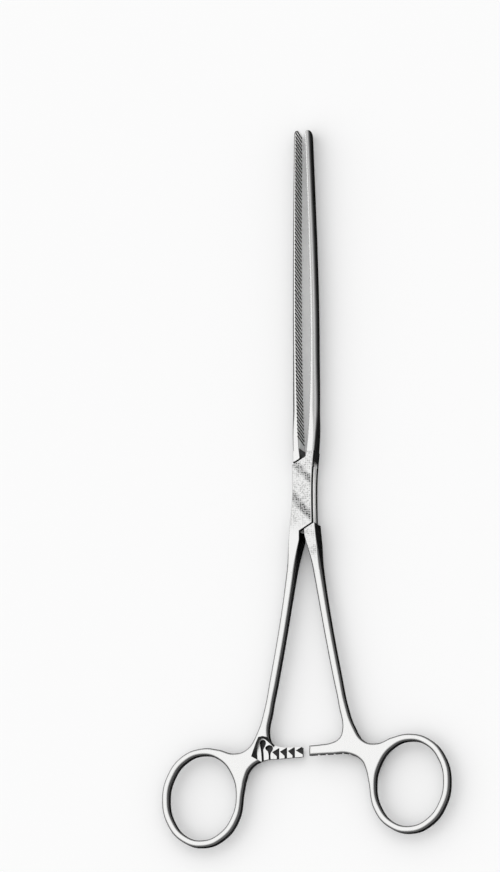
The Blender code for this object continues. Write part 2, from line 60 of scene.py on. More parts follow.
# Jaws. The one on +X bows out further. The bow peaks at a share of the way to the tip
JAW_WIDTH = 0.0066
JAW_ROOT_Y = 0.0120
JAW_INSIDE_Y = 0.00875
JAW_SEAT_Y = 0.0138
FACE_OFFSET_ROOT = {RIGHT: 0.00120, LEFT: 0.00080}
FACE_OFFSET_TIP = {RIGHT: 0.00150, LEFT: 0.00140}
FACE_BOW = {RIGHT: 0.00180, LEFT: 0.00078}
BOW_PEAK = 0.36
BACK_AT_TIP = 0.00115
BACK_TAPER = 0.00065
BACK_AT_ROOT = {RIGHT: 0.00055, LEFT: 0.00035}
ROOT_FLARE_START = 0.0480
ROOT_FLARE_END = 0.0200
JAW_DOME = 2.3
ROOT_SQUARENESS = 7.0
ROOT_BLEND = 0.0160
FACE_EDGE = 0.00012
TIP_ROUND = 0.0023
TIP_SHAPE = 2.6
TIP_LAST_ANGLE = math.radians(86.0)
TIP_BACK_SHARE = 0.45
HALF_WAY = 0.5
JAW_STATIONS = 96
JAW_SPACING = 1.2
JAW_ARC_POINTS = 37
TIP_STATIONS = 16

# Serrations
GROOVE_PITCH = 0.00125
GROOVE_WIDTH = 0.00072
GROOVE_DEPTH = 0.00032
GROOVE_ANGLE = math.radians(16.0)
GROOVES_START_Y = 0.0170
GROOVES_END_GAP = 0.0010
GROOVE_OVERCUT = 0.00012
GROOVE_LENGTH = 0.0102
SLOPE_STEP = 0.0005

# Box lock
BOX_HALF_WIDTH = 0.00325
BOX_WAIST = 0.00305
BOX_EDGE_Y = 0.01135
BOX_EDGE_ANGLE = math.radians(29.0)
BOX_EDGE_ROUND = 0.00022
BOX_FOOT_Y = 0.01335
BOX_BELLY = 0.00040
BOX_CROTCH_X = 0.00105
PLATE_SIDE_STEPS = 6
SHOULDER_SIDE_X = 0.00300
SHOULDER_INSIDE_X = 0.00065
SHOULDER_END = (0.00110, 0.01550)
SLOT_END_Y = 0.01220
SLOT_END_ANGLE = math.radians(37.0)
SLOT_END_INSET = 0.00010
TONGUE_THICKNESS = 0.00270
TONGUE_SIDE_GAP = 0.00010
TONGUE_END_GAP = 0.00040
TONGUE_INSET = 0.00012
TONGUE_TRIM = 0.00025
TONGUE_ROUND = 0.00080
TONGUE_ROUND_STEPS = 5
ROUND_PROFILE = 0.5
SHOULDER_GAP = 0.00045
PIN_HAIRLINE = 0.00001
PIN_RUNNING_GAP = 0.00010
PIN_SIDES = 96
FUSE_INSET = 0.00001

# How far the box lock's cutters reach, in times its half width or its thickness
SLOT_REACH = 2.0
SHOULDER_CUT_REACH = 3.0
CUTTER_HEIGHT = 2.0

# Shanks
SHANK_TOP_Y = -0.0175
SHANK_TOP_X = 0.00330
SHANK_FOOT_Y = -0.0725
SHANK_FOOT_X = 0.01315
SHANK_BOW = 0.00045
SHANK_WIDTH = 0.00250
SHANK_TOP_EXTRA_WIDTH = 0.00080
SHANK_TAPER_LENGTH = 0.0090
SHANK_THINNING_LENGTH = 0.0065
SHANK_ROOT_START_Y = -0.00835
SHANK_CUT_Y = -0.0245
SHANK_ROOT_OVERLAP = 0.0016
SHANK_CROTCH_X = 0.00062
WEB_START_Y = -0.0685
HANDLE_THICKNESS = 0.0038
HANDLE_ROUND = 0.00100
SHANK_STATIONS = 6
SHANK_ROOT_STATIONS = 40
CORNER_POINTS = 9

# Finger rings and the web that joins them to the shanks. The web's points are degrees round the
# ring and times its outer size
RING_CENTRE_X = 0.0344
RING_CENTRE_Y = -0.0955
RING_HOLE_X = 0.0112
RING_HOLE_Y = 0.0137
RING_ROD = 0.0022
WEB_OVER_RING = ((138.0, 1.84), (140.5, 1.45), (133.0, 1.165), (114.0, 1.04))
WEB_UNDER_RING = ((173.7, 1.021), (162.5, 1.125), (156.0, 1.295))
RING_ARC_START = 90
RING_ARC_END = -180
RING_STEP = 30
CURVE_STEPS = 12
ROUND_STEPS = 6

# Ratchet bars, on the half plane that the two bars share. The fillet's points are counted from the
# shank's inner edge and the bar's top
BAR_END_X = 0.0013
BAR_TOP_Y = -0.0811
BAR_HEIGHT = 0.0032
BAR_ROOT_FALL = 0.0004
BAR_INSIDE_FALL = 0.0001
BAR_ROOT_OUTSIDE = 0.0025
BAR_ROOT_INSIDE = 0.0030
BAR_STRAIGHT = 0.0040
BAR_FILLET = ((-0.0035, 0.0004), (-0.0010, 0.0014), (0.0002, 0.0033))
BAR_PLANE_GAP = 0.00010
RELIEF_LOW_Y = -0.0885
RELIEF_ARCH = (
    (0.0163, -0.0842), (0.0165, -0.0815), (0.0163, -0.0794), (0.0156, -0.0779), (0.0147, -0.07745),
    (0.01375, -0.07785), (0.0125, -0.0790), (0.0095, -0.0820),
)
RELIEF_RIM = (
    (0.0178, -0.0834), (0.0172, -0.0817), (0.0162, -0.0790), (0.0154, -0.0773),
    (0.0140, -0.0771), (0.0122, -0.0776), (0.0112, -0.0796),
)
RELIEF_OPEN_X = 0.0109
RELIEF_OPEN_Y = -0.0799
RELIEF_OPEN_STEP = 0.00004

# Notches in a bar: two long ones with round heads at the root, then saw teeth. True marks a corner
HEAD_NOTCH = (
    (0.01419, -0.0849, True), (0.01428, -0.0825, False), (0.01435, -0.0811, False),
    (0.01372, -0.0798, False), (0.01355, -0.0787, False), (0.01415, -0.0780, False),
    (0.01490, -0.0780, False), (0.01550, -0.0787, False), (0.01548, -0.0798, False),
    (0.01520, -0.0814, False), (0.01494, -0.0849, True),
)
SECOND_NOTCH = (
    (0.01190, -0.0849, True), (0.01187, -0.0823, False), (0.01130, -0.0815, False),
    (0.01125, -0.0805, False), (0.01215, -0.0798, False), (0.01300, -0.0799, False),
    (0.01375, -0.0806, False), (0.01285, -0.0820, False), (0.01262, -0.0849, True),
)
NOTCH_DEPTH = 0.00110
TOOTH_WALLS = (0.00910, 0.00652, 0.00389, 0.00128)
TOOTH_APEX = (0.00238, -0.0821)
TOOTH_TOP_Y = -0.0809
TOOTH_STEM = (0.00085, -0.0836)
TOOTH_LOW_Y = -0.0849
LAST_TOOTH_LOW_Y = -0.0836
TOOTH_DEPTH_AT_WALL = 0.00130
TOOTH_DEPTH_AT_APEX = 0.00035
TOOTH_OVERCUT = 0.00030

WELD_DISTANCE = 0.000002
SHARP_ANGLE = math.radians(32.0)

# Finishes, by their place in every mesh's material slots. The first slot, satin, is on all faces
# that are given no other
MATT = 1
# Ground faces are painted near white, as light
GROUND_PAINTED_LIGHT = 2
# Grooves, notches and recesses are painted near black, as shade
RECESS_SHADE = 3
MATT_SHANK = 4

# How squarely a face looks along an axis when it belongs to the surface named here
FLAT_TOP = 0.99
GRIPPING_FACE = 0.98
SHOULDER_END_FACE = 0.90
RECESS_FLOOR = 0.95

# Noise in the finishes: fine lines or broad clouds, and the part of its range that is used. Each
# finish's bump has its distance and its strength
LINE_DETAIL = 2.0
CLOUD_DETAIL = 3.0
NOISE_SPAN = (0.3, 0.7)

# Satin finish: bright on the flats, with shade painted dark on the sides and their edge
# reflections painted out. Each fade is from side to flat, and the jaw on +X has its own
POLISHED = (0.70, 0.70, 0.695)
PAINTED_SIDE_SHADE = (0.13, 0.13, 0.13)
SHADED_SIDE_EDGE_TINT = (0.0, 0.0, 0.0)
FLAT_EDGE_TINT = (1.0, 1.0, 1.0)
JAW_SHADE_FADE = (0.12, 0.62)
HANDLE_SHADE_FADE = (0.62, 0.985)
FADE_CHANGE_Y = (-0.020, 0.010)
FADE_CHANGE_X = (-0.0004, 0.0004)
SATIN_LINES = (3600.0, 140.0, 3600.0)
SATIN_CLOUDS = (160.0, 90.0, 160.0)
SATIN_LINES_SHARE = 0.6
SATIN_CLOUDS_SHARE = 0.4
SATIN_ROUGHNESS = (0.19, 0.33)
SATIN_BUMP = (0.000003, 0.15)

# Matt finish: dots on the plates and on the shank's root. Each fade goes from no dots to all of
# them, up the clamp
PLATE_FADE = (-0.0135, -0.0070)
SHANK_FADE = (-0.0240, -0.0180)
STIPPLE_AND_REFLECTION_DARK = (0.06, 0.06, 0.06)
DOT_SCALE = 1650.0
DOT_RANDOMNESS = 0.35
DOT_EDGE = (0.25, 0.6)
DOT_DENSITY = 0.42
DENSITY_CLOUDS = (500.0, 500.0, 500.0)
DENSITY_CHANGE = (0.5, 1.5)
MATT_ROUGHNESS = (0.26, 0.42)
MATT_BUMP = (0.00001, 0.4)

# Two oblique bands of painted reflection on the matt finish, as darker and denser stipple. Each
# has its middle, the distances from there at which it starts and is full, and its strength
REFLECTION_LEAN = 1.1
REFLECTION_BANDS = (
    (0.0073, (0.0026, 0.0004), 0.8),
    (-0.0042, (0.0030, 0.0004), 1.0),
)
REFLECTION_DENSITY = 0.45
REFLECTION_TONE = 0.40

# Ground gripping faces, painted near white as light, and grooves, notches and recesses painted
# near black as shade
PAINTED_LIGHT_GROUND_FACE = (0.97, 0.97, 0.965)
GROUND_LINES = (4000.0, 300.0, 4000.0)
GROUND_ROUGHNESS = (0.80, 0.92)
GROUND_BUMP = (0.000004, 0.3)
RECESS_SHADE_MIDDLE = (0.04, 0.04, 0.04)
RECESS_SHADE_DARK = (0.02, 0.02, 0.02)
RECESS_SHADE_LIGHT = (0.07, 0.07, 0.07)
CUT_GRAIN = (2500.0, 2500.0, 2500.0)
CUT_ROUGHNESS = (0.40, 0.55)

# The photograph's frame, and where its camera stood
IMAGE_WIDTH = 500
IMAGE_HEIGHT = 872
PIN_PIXEL = (305.2, 495.5)
METRES_PER_PIXEL = 0.0003166
VIEW_FROM_RIGHT = math.radians(18.5)
VIEW_FROM_BELOW = math.radians(12.5)
VIEW_ROLL = math.radians(0.25)
CAMERA_DISTANCE = 6.0
CAMERA_REACH = 24.0
SENSOR_HEIGHT = 36.0

# Studio. The light grows from low to high as its direction nears the one it mainly comes from
FLOOR_SIZE = 12.0
FLOOR_COLOUR = (0.93, 0.93, 0.93)
LIGHT_FROM = Vector((-0.32, 0.22, 0.92))
LIGHT_LOW = 0.60
LIGHT_HIGH = 1.28
LIGHT_SPREAD = (0.20, 0.85)


def lerp(start, end, share):
    return start + (end - start) * share


def smooth_step(start, end, value):
    share = min(max((value - start) / (end - start), 0.0), 1.0)
    return share * share * (3.0 - 2.0 * share)


class Nodes:
    """Short names for adding and joining shader nodes."""

    def __init__(self, tree):
        self.tree = tree

    def add(self, kind, **settings):
        node = self.tree.nodes.new(kind)
        for name, value in settings.items():
            setattr(node, name, value)
        return node

    def join(self, source, target):
        self.tree.links.new(source, target)

    def math(self, operation, first, second=0.0):
        """A Math node. Each operand is an output socket or a number."""
        node = self.add("ShaderNodeMath", operation=operation)
        for socket, value in zip(node.inputs, (first, second)):
            if isinstance(value, float):
                socket.default_value = value
            else:
                self.join(value, socket)
        return node.outputs["Value"]

    def map_range(self, value, source, target=(0.0, 1.0), smooth=False):
        node = self.add("ShaderNodeMapRange")
        if smooth:
            node.interpolation_type = "SMOOTHSTEP"
        node.inputs["From Min"].default_value = source[0]
        node.inputs["From Max"].default_value = source[1]
        node.inputs["To Min"].default_value = target[0]
        node.inputs["To Max"].default_value = target[1]
        self.join(value, node.inputs["Value"])
        return node.outputs["Result"]

    def split(self, vector):
        """The vector's parts, under the names X, Y and Z."""
        node = self.add("ShaderNodeSeparateXYZ")
        self.join(vector, node.inputs["Vector"])
        return node.outputs

    def noise(self, place, scale, detail):
        """Noise with its own scale along each axis."""
        stretched = self.add("ShaderNodeMapping")
        stretched.inputs["Scale"].default_value = scale
        self.join(place, stretched.inputs["Vector"])
        node = self.add("ShaderNodeTexNoise")
        node.inputs["Scale"].default_value = 1.0
        node.inputs["Detail"].default_value = detail
        self.join(stretched.outputs["Vector"], node.inputs["Vector"])
        return node.outputs["Fac"]

    def blend(self, share, low, high):
        """From the low colour at 0 to the high one at 1."""
        ramp = self.add("ShaderNodeValToRGB")
        ramp.color_ramp.elements[0].color = (*low, 1.0)
        ramp.color_ramp.elements[1].color = (*high, 1.0)
        self.join(share, ramp.inputs["Fac"])
        return ramp.outputs["Color"]


def steel(name, colour):
    """A metallic material with its nodes, its shader and the object coordinates."""
    material = bpy.data.materials.new(name)
    material.use_nodes = True
    nodes = Nodes(material.node_tree)
    shader = material.node_tree.nodes["Principled BSDF"]
    shader.inputs["Base Color"].default_value = (*colour, 1.0)
    shader.inputs["Metallic"].default_value = 1.0
    place = nodes.add("ShaderNodeTexCoord").outputs["Object"]
    return material, nodes, shader, place


def add_bump(nodes, shader, height, distance, strength):
    bump = nodes.add("ShaderNodeBump")
    bump.inputs["Distance"].default_value = distance
    bump.inputs["Strength"].default_value = strength
    nodes.join(height, bump.inputs["Height"])
    nodes.join(bump.outputs["Normal"], shader.inputs["Normal"])


def unshaded_share(nodes, place):
    """Zero on the sides, painted in shade, and one on the flats, by the way that the surface
    looks.
    """
    normal = nodes.split(nodes.add("ShaderNodeTexCoord").outputs["Normal"])
    level = nodes.math("ABSOLUTE", normal["Z"])
    at = nodes.split(place)
    above_lock = nodes.map_range(at["Y"], FADE_CHANGE_Y)
    on_right = nodes.map_range(at["X"], FADE_CHANGE_X)
    on_jaw = nodes.math("MULTIPLY", above_lock, on_right)
    handle_fade = nodes.map_range(level, HANDLE_SHADE_FADE, smooth=True)
    jaw_fade = nodes.map_range(level, JAW_SHADE_FADE, smooth=True)
    more = nodes.math("MULTIPLY", on_jaw, nodes.math("SUBTRACT", jaw_fade, handle_fade))
    return nodes.math("ADD", handle_fade, more)


def satin_steel():
    """Brushed along the clamp. The flats are polished bright, the sides painted dark as shade."""
    material, nodes, shader, place = steel("satin_steel", POLISHED)
    flat = unshaded_share(nodes, place)
    # Painted shade: the sides' colour goes dark, and the tint below takes out their edge
    # reflections
    nodes.join(nodes.blend(flat, PAINTED_SIDE_SHADE, POLISHED), shader.inputs["Base Color"])
    edge_tint = nodes.blend(flat, SHADED_SIDE_EDGE_TINT, FLAT_EDGE_TINT)
    nodes.join(edge_tint, shader.inputs["Specular Tint"])
    lines = nodes.noise(place, SATIN_LINES, LINE_DETAIL)
    clouds = nodes.noise(place, SATIN_CLOUDS, CLOUD_DETAIL)
    fine = nodes.math("MULTIPLY", lines, SATIN_LINES_SHARE)
    broad = nodes.math("MULTIPLY", clouds, SATIN_CLOUDS_SHARE)
    roughness = nodes.map_range(nodes.math("ADD", fine, broad), NOISE_SPAN, SATIN_ROUGHNESS)
    nodes.join(roughness, shader.inputs["Roughness"])
    add_bump(nodes, shader, lines, *SATIN_BUMP)
    return material


def painted_reflection_bands(nodes, at):
    """Painted reflection: one in the middle of a band and zero away from both, weaker in the upper
    one.
    """
    oblique = nodes.math("ADD", at["Y"], nodes.math("MULTIPLY", at["X"], REFLECTION_LEAN))
    bands = []
    for middle, reach, strength in REFLECTION_BANDS:
        off = nodes.math("ABSOLUTE", nodes.math("SUBTRACT", oblique, middle))
        bands.append(nodes.map_range(off, reach, (0.0, strength), smooth=True))
    return nodes.math("MAXIMUM", *bands)


def stipple(nodes, place):
    """One on each dot and zero between the dots."""
    dots = nodes.add("ShaderNodeTexVoronoi")
    dots.inputs["Scale"].default_value = DOT_SCALE
    dots.inputs["Randomness"].default_value = DOT_RANDOMNESS
    nodes.join(place, dots.inputs["Vector"])
    return nodes.map_range(dots.outputs["Distance"], DOT_EDGE, (1.0, 0.0), smooth=True)


def matt_steel_painted_reflection(name, fade, reflection_share):
    """Fine stipple that fades down the shank, denser in two oblique bands of painted reflection
    on the box plates.
    """
    material, nodes, shader, place = steel(name, POLISHED)
    at = nodes.split(place)
    on_plate = nodes.map_range(at["Y"], fade, smooth=True)
    # Two bands of painted reflection, full on the plates and none on the shank
    band = nodes.math("MULTIPLY", painted_reflection_bands(nodes, at), reflection_share)
    dot = stipple(nodes, place)
    clouds = nodes.noise(place, DENSITY_CLOUDS, CLOUD_DETAIL)
    change = nodes.map_range(clouds, NOISE_SPAN, DENSITY_CHANGE)
    density = nodes.math("ADD", nodes.math("MULTIPLY", band, REFLECTION_DENSITY), DOT_DENSITY)
    density = nodes.math("MULTIPLY", density, change)
    shade = nodes.math("MULTIPLY", nodes.math("MULTIPLY", dot, density), on_plate)
    # The bands' painted reflection also darkens the colour between the dots
    tone = nodes.math("MULTIPLY", nodes.math("MULTIPLY", band, REFLECTION_TONE), on_plate)
    shade = nodes.math("ADD", shade, tone)
    nodes.join(nodes.blend(shade, POLISHED, STIPPLE_AND_REFLECTION_DARK), shader.inputs["Base Color"])
    roughness = nodes.map_range(on_plate, (0.0, 1.0), MATT_ROUGHNESS)
    nodes.join(roughness, shader.inputs["Roughness"])
    add_bump(nodes, shader, dot, *MATT_BUMP)
    return material


def ground_steel_painted_light():
    """Gripping faces, ground after their grooves were cut, and painted near white as light."""
    material, nodes, shader, place = steel("ground_steel_painted_light", PAINTED_LIGHT_GROUND_FACE)
    lines = nodes.noise(place, GROUND_LINES, LINE_DETAIL)
    nodes.join(nodes.map_range(lines, NOISE_SPAN, GROUND_ROUGHNESS), shader.inputs["Roughness"])
    add_bump(nodes, shader, lines, *GROUND_BUMP)
    return material


def recess_shade_steel():
    """Grooves, notches and recesses, painted near black as shade."""
    material, nodes, shader, place = steel("recess_shade_steel", RECESS_SHADE_MIDDLE)
    grain = nodes.noise(place, CUT_GRAIN, CLOUD_DETAIL)
    nodes.join(nodes.blend(grain, RECESS_SHADE_DARK, RECESS_SHADE_LIGHT), shader.inputs["Base Color"])
    nodes.join(nodes.map_range(grain, NOISE_SPAN, CUT_ROUGHNESS), shader.inputs["Roughness"])
    return material


FINISHES = [
    satin_steel(),
    matt_steel_painted_reflection("matt_steel_painted_reflection", PLATE_FADE, 1.0),
    ground_steel_painted_light(),
    recess_shade_steel(),
    matt_steel_painted_reflection("matt_shank_steel", SHANK_FADE, 0.0),
]


def add_bmesh(name, shape):
    mesh = bpy.data.meshes.new(name)
    bmesh.ops.recalc_face_normals(shape, faces=shape.faces)
    shape.to_mesh(mesh)
    shape.free()
    for material in FINISHES:
        mesh.materials.append(material)
    item = bpy.data.objects.new(name, mesh)
    bpy.context.scene.collection.objects.link(item)
    return item


def give_finish(item, finish, chosen=None):
    """Gives a finish to all the faces, or to those that chosen picks by their normal."""
    for face in item.data.polygons:
        if chosen is None or chosen(face.normal):
            face.material_index = finish
    return item


def baked(item):
    """The object's mesh as its modifiers leave it."""
    bpy.context.view_layer.update()
    evaluated = item.evaluated_get(bpy.context.evaluated_depsgraph_get())
    return bpy.data.meshes.new_from_object(evaluated)


def combine(target, other, operation):
    """Boolean, applied at once. The other object is used up."""
    modifier = target.modifiers.new(operation, "BOOLEAN")
    modifier.operation = operation
    modifier.object = other
    modifier.solver = "EXACT"
    mesh = baked(target)
    target.modifiers.clear()
    target.data = mesh
    bpy.data.objects.remove(other, do_unlink=True)


def turn_over(item):
    """Half a turn about the instrument's long axis: left becomes right, up becomes down."""
    item.data.transform(Matrix.Rotation(math.pi, 4, "Y"))
    return item


def outline_solid(name, loops, thickness, rounding=0.0):
    """A flat outline with rounded edges. Each loop is a list of (x, y, is_corner)."""
    curve = bpy.data.curves.new(name, "CURVE")
    curve.dimensions = "2D"
    curve.fill_mode = "BOTH"
    curve.resolution_u = CURVE_STEPS
    curve.extrude = thickness / 2.0 - rounding
    curve.bevel_depth = rounding
    curve.bevel_resolution = ROUND_STEPS
    curve.offset = -rounding
    for loop in loops:
        spline = curve.splines.new("BEZIER")
        spline.bezier_points.add(len(loop) - 1)
        spline.use_cyclic_u = True
        for point, (x, y, is_corner) in zip(spline.bezier_points, loop):
            point.co = (x, y, 0.0)
            kind = "VECTOR" if is_corner else "AUTO"
            point.handle_left_type = kind
            point.handle_right_type = kind
    source = bpy.data.objects.new(name + "_outline", curve)
    bpy.context.scene.collection.objects.link(source)
    mesh = baked(source)
    bpy.data.objects.remove(source, do_unlink=True)
    shape = bmesh.new()
    shape.from_mesh(mesh)
    bmesh.ops.remove_doubles(shape, verts=shape.verts, dist=WELD_DISTANCE)
    return add_bmesh(name, shape)


def loft(name, sections):
    """Skin through closed sections that all have the same number of points."""
    shape = bmesh.new()
    rings = [[shape.verts.new(point) for point in section] for section in sections]
    count = len(rings[0])
    for ring, following in zip(rings, rings[1:]):
        for index in range(count):
            after = (index + 1) % count
            shape.faces.new((ring[index], ring[after], following[after], following[index]))
    shape.faces.new(rings[0])
    shape.faces.new(rings[-1])
    return add_bmesh(name, shape)


def prism_shape(corners, thickness):
    """A straight prism round the middle plane from plan corners, as a bmesh."""
    shape = bmesh.new()
    face = shape.faces.new([shape.verts.new((x, y, -thickness / 2.0)) for x, y in corners])
    grown = bmesh.ops.extrude_face_region(shape, geom=[face])
    lifted = [item for item in grown["geom"] if isinstance(item, bmesh.types.BMVert)]
    bmesh.ops.translate(shape, vec=(0.0, 0.0, thickness), verts=lifted)
    return shape


def plan_prism(name, corners, thickness):
    return add_bmesh(name, prism_shape(corners, thickness))


def cylinder(name, radius, depth):
    shape = bmesh.new()
    bmesh.ops.create_cone(
        shape, cap_ends=True, segments=PIN_SIDES, radius1=radius, radius2=radius, depth=depth
    )
    return add_bmesh(name, shape)


def face_offset(y, side):
    """Distance from the centre plane to a jaw's gripping face."""
    share = min(max((y - JAW_ROOT_Y) / (TIP_Y - JAW_ROOT_Y), 0.0), 1.0)
    skew = math.log(HALF_WAY) / math.log(BOW_PEAK)
    bow = FACE_BOW[side] * math.sin(math.pi * share ** skew)
    return lerp(FACE_OFFSET_ROOT[side], FACE_OFFSET_TIP[side], share) + bow


def back_thickness(y, side):
    """Height of a jaw's domed back over its gripping face."""
    share = (TIP_Y - y) / (TIP_Y - JAW_ROOT_Y)
    flare = 1.0 - smooth_step(ROOT_FLARE_END, ROOT_FLARE_START, y)
    return BACK_AT_TIP + BACK_TAPER * share + BACK_AT_ROOT[side] * flare


def jaw_section(y, face, half_width, back, squareness):
    """A flat face towards the centre plane, with its edges just broken, and a domed back."""
    points = []
    for index in range(JAW_ARC_POINTS):
        angle = math.pi * index / (JAW_ARC_POINTS - 1)
        across = math.copysign(abs(math.cos(angle)) ** (2.0 / squareness), math.cos(angle))
        height = max(math.sin(angle), 0.0) ** (2.0 / squareness)
        points.append((face + FACE_EDGE + (back - FACE_EDGE) * height, y, half_width * across))
    edge = min(FACE_EDGE, half_width / 2.0)
    points.append((face, y, -half_width + edge))
    points.append((face, y, half_width - edge))
    return points


def make_jaw(name, side):
    """One side's jaw, drawn on +X, from inside the lock to its full-round tip."""
    tip_start = TIP_Y - TIP_ROUND
    half_width = JAW_WIDTH / 2.0
    sections = []
    for index in range(JAW_STATIONS + 1):
        y = lerp(JAW_INSIDE_Y, tip_start, (index / JAW_STATIONS) ** JAW_SPACING)
        blend = smooth_step(JAW_ROOT_Y, JAW_ROOT_Y + ROOT_BLEND, y)
        inset = FUSE_INSET * (1.0 - blend)
        squareness = lerp(ROOT_SQUARENESS, JAW_DOME, blend)
        back = back_thickness(y, side)
        face = face_offset(y, side)
        sections.append(jaw_section(y, face, half_width - inset, back, squareness))
    for index in range(1, TIP_STATIONS + 1):
        angle = TIP_LAST_ANGLE * index / TIP_STATIONS
        share = math.cos(angle) ** (2.0 / TIP_SHAPE)
        y = tip_start + TIP_ROUND * math.sin(angle) ** (2.0 / TIP_SHAPE)
        back = back_thickness(y, side) * lerp(TIP_BACK_SHARE, 1.0, share)
        face = face_offset(y, side)
        sections.append(jaw_section(y, face, half_width * share, back, JAW_DOME))
    return loft(name, sections)


def make_grooves(side, shift):
    """V grooves across one gripping face, all in one cutter."""
    shape = bmesh.new()
    count = int((TIP_Y - GROOVES_END_GAP - GROOVES_START_Y) / GROOVE_PITCH) + 1
    half_width = GROOVE_WIDTH / 2.0 * (GROOVE_DEPTH + GROOVE_OVERCUT) / GROOVE_DEPTH
    lean = Matrix.Rotation(-GROOVE_ANGLE, 4, "X")
    profile = ((GROOVE_DEPTH, 0.0), (-GROOVE_OVERCUT, half_width), (-GROOVE_OVERCUT, -half_width))
    for index in range(count):
        y = GROOVES_START_Y + shift + index * GROOVE_PITCH
        rise = face_offset(y + SLOPE_STEP, side) - face_offset(y - SLOPE_STEP, side)
        turn = Matrix.Rotation(-math.atan(rise / (2.0 * SLOPE_STEP)), 4, "Z")
        place = Matrix.Translation((face_offset(y, side), y, 0.0)) @ turn @ lean
        verts = []
        for z in (-GROOVE_LENGTH / 2.0, GROOVE_LENGTH / 2.0):
            for depth, across in profile:
                verts.append(shape.verts.new(place @ Vector((depth, across, z))))
        bmesh.ops.convex_hull(shape, input=verts)
    if side == LEFT:
        bmesh.ops.scale(shape, vec=(-1.0, 1.0, 1.0), verts=shape.verts)
    # The grooves are painted near black, as shade
    return give_finish(add_bmesh("grooves", shape), RECESS_SHADE)


def shank_centre(y):
    share = (y - SHANK_TOP_Y) / (SHANK_FOOT_Y - SHANK_TOP_Y)
    bow = SHANK_BOW * math.sin(math.pi * min(max(share, 0.0), 1.0))
    return lerp(SHANK_TOP_X, SHANK_FOOT_X, share) - bow


def shank_width(y):
    return SHANK_WIDTH + SHANK_TOP_EXTRA_WIDTH * math.exp((y - SHANK_TOP_Y) / SHANK_TAPER_LENGTH)


def handle_thickness(y):
    """Full box thickness at the lock, thinning gently at first down the shank."""
    reach = max(-BOX_FOOT_Y - y, 0.0) / SHANK_THINNING_LENGTH
    extra = math.exp(-reach * reach / (1.0 + reach))
    return HANDLE_THICKNESS + (BOX_THICKNESS - HANDLE_THICKNESS) * extra


def ring_point(degrees, scale):
    """A point on the ring's outer ellipse, or beyond it where scale is over one."""
    angle = math.radians(degrees)
    across = (RING_HOLE_X + RING_ROD) * scale
    along = (RING_HOLE_Y + RING_ROD) * scale
    return RING_CENTRE_X + across * math.cos(angle), RING_CENTRE_Y + along * math.sin(angle)


def handle_outline():
    """Shank, web, finger ring and ratchet bar in one outline, for the handle on +X."""
    pace = (WEB_START_Y - SHANK_CUT_Y) / (SHANK_STATIONS - 1)
    stations = [SHANK_CUT_Y + pace * step for step in range(SHANK_STATIONS)]
    outer = [(shank_centre(y) + shank_width(y) / 2.0, y, False) for y in stations]
    inner = [(shank_centre(y) - shank_width(y) / 2.0, y, False) for y in reversed(stations)]
    bar_bottom = BAR_TOP_Y - BAR_HEIGHT
    foot_x = SHANK_FOOT_X - SHANK_WIDTH / 2.0
    ring_arc = range(RING_ARC_START, RING_ARC_END, -RING_STEP)
    outline = [(outer[0][0], outer[0][1], True)] + outer[1:]
    outline += [(*ring_point(degrees, scale), False) for degrees, scale in WEB_OVER_RING]
    outline += [(*ring_point(degrees, 1.0), False) for degrees in ring_arc]
    outline += [(*ring_point(degrees, scale), False) for degrees, scale in WEB_UNDER_RING]
    outline += [
        (foot_x + BAR_ROOT_OUTSIDE, bar_bottom - BAR_ROOT_FALL, False),
        (foot_x - BAR_ROOT_INSIDE, bar_bottom - BAR_INSIDE_FALL, False),
        (BAR_END_X, bar_bottom, True),
        (BAR_END_X, BAR_TOP_Y, True),
        (BAR_END_X + BAR_STRAIGHT, BAR_TOP_Y + BAR_PLANE_GAP, False),
    ]
    outline += [(foot_x + across, BAR_TOP_Y + along, False) for across, along in BAR_FILLET]
    outline += inner[:-1] + [(inner[-1][0], inner[-1][1], True)]
    return outline


def make_handle(name):
    """Outline solid of the handle on +X, thinned along its length."""
    hole = []
    for degrees in range(0, 360, RING_STEP):
        angle = math.radians(degrees)
        x = RING_CENTRE_X + RING_HOLE_X * math.cos(angle)
        hole.append((x, RING_CENTRE_Y + RING_HOLE_Y * math.sin(angle), False))
    item = outline_solid(name, [handle_outline(), hole], HANDLE_THICKNESS, HANDLE_ROUND)
    for vertex in item.data.vertices:
        vertex.co.z *= handle_thickness(vertex.co.y) / HANDLE_THICKNESS
    return item


def rounded_rectangle(centre_x, y, half_x, half_z, round_x, round_z):
    """A section across the shank with elliptical corners."""
    points = []
    for quarter in range(4):
        for step in range(CORNER_POINTS):
            angle = math.pi / 2.0 * (quarter + step / (CORNER_POINTS - 1))
            cosine, sine = math.cos(angle), math.sin(angle)
            side_x = RIGHT if quarter in (0, 3) else LEFT
            side_z = 1 if quarter in (0, 1) else -1
            x = centre_x + side_x * (half_x - round_x) + round_x * cosine
            points.append((x, y, side_z * (half_z - round_z) + round_z * sine))
    return points


def make_shank_root(name, crotch_x):
    """Square-edged at the lock and as round as the shank where that takes over, on +X."""
    end = SHANK_CUT_Y - SHANK_ROOT_OVERLAP
    sections = []
    for index in range(SHANK_ROOT_STATIONS + 1):
        y = lerp(SHANK_ROOT_START_Y, end, index / SHANK_ROOT_STATIONS)
        inner = max(shank_centre(y) - shank_width(y) / 2.0, crotch_x)
        outer = shank_centre(y) + shank_width(y) / 2.0
        half_x = (outer - inner) / 2.0 - FUSE_INSET
        half_z = handle_thickness(y) / 2.0 - FUSE_INSET
        ease = smooth_step(-BOX_FOOT_Y, SHANK_CUT_Y, y)
        round_x = lerp(BOX_EDGE_ROUND, HANDLE_ROUND, ease)
        round_z = round_x * lerp(1.0, handle_thickness(y) / HANDLE_THICKNESS, ease)
        centre = (inner + outer) / 2.0
        sections.append(rounded_rectangle(centre, y, half_x, half_z, round_x, round_z))
    return loft(name, sections)


